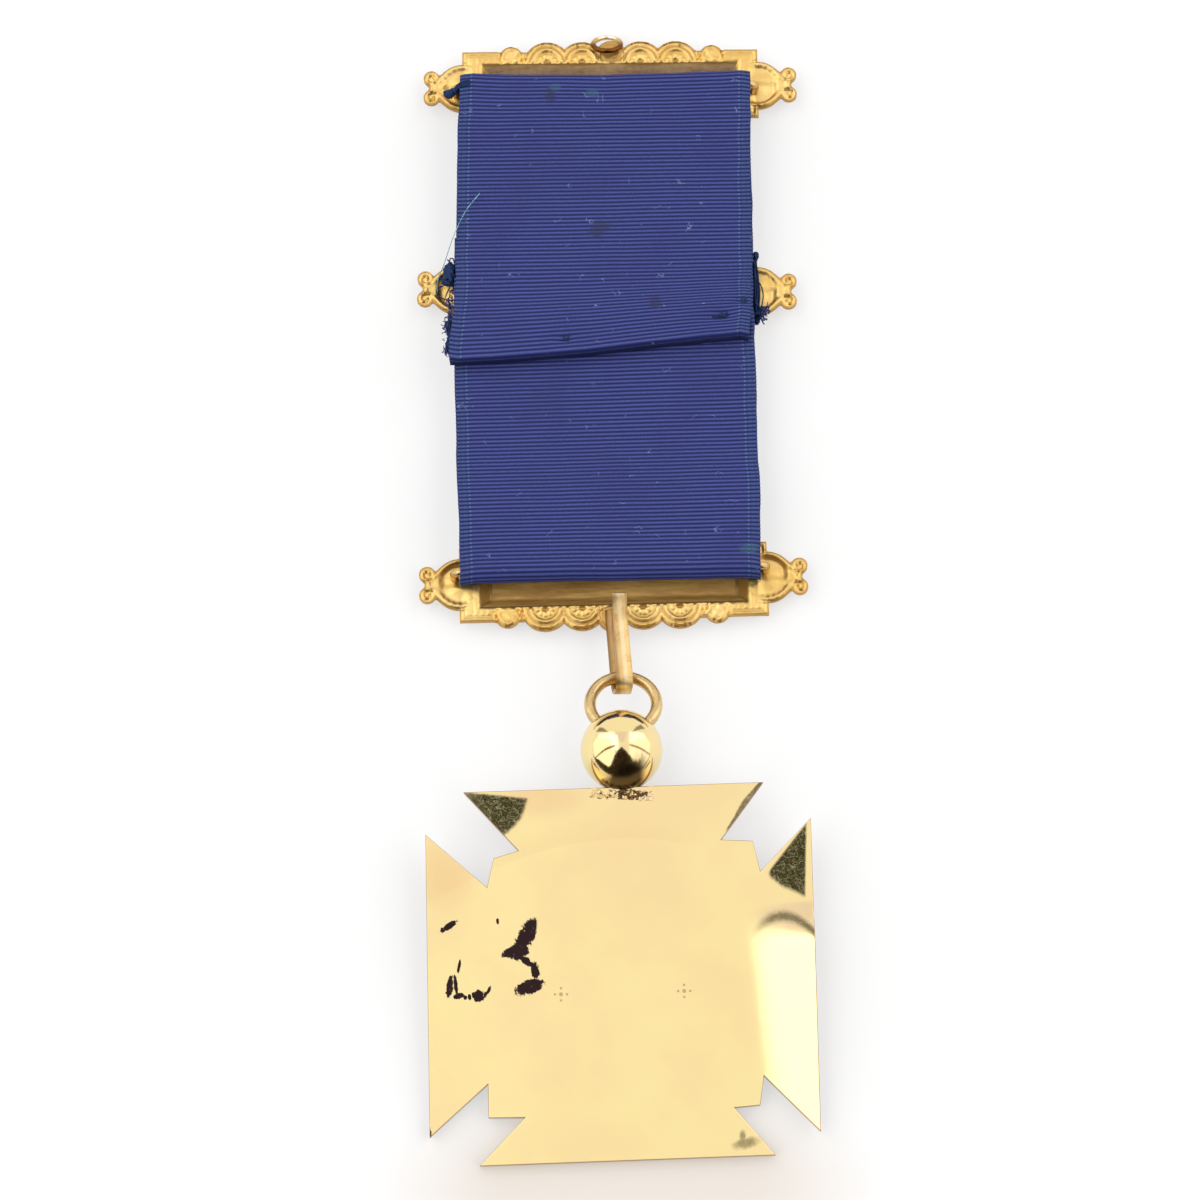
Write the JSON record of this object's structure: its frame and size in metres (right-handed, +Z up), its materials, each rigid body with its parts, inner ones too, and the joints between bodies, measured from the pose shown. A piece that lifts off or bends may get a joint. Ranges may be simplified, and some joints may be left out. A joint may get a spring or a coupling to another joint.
{
  "type": "fraternal breast jewel",
  "caption": "Breast jewel lying face down: ribbon looped over struck gilt bars with scalloped crests, and a polished flared cross hung by hook, ring and ball.",
  "frame": {"origin": "on the surface that the jewel lies on, under the middle of its overall box", "axes": "+Z up, out of the jewel's back; +Y along the jewel towards the top bar; +X to the right when the back is looked at with the top bar up"},
  "size_m": [0.0506, 0.1526, 0.0103],
  "materials": {
    "struck_gilt": "satin, struck",
    "polished_gilt": "polished",
    "blue_ribbon": "ribbed weave"
  },
  "bodies": {
    "root": {"top_bar": "struck_gilt", "middle_bar": "struck_gilt", "bottom_bar": "struck_gilt", "ribbon": "blue_ribbon", "cross_pendant": "polished_gilt"}
  },
  "joints": []
}
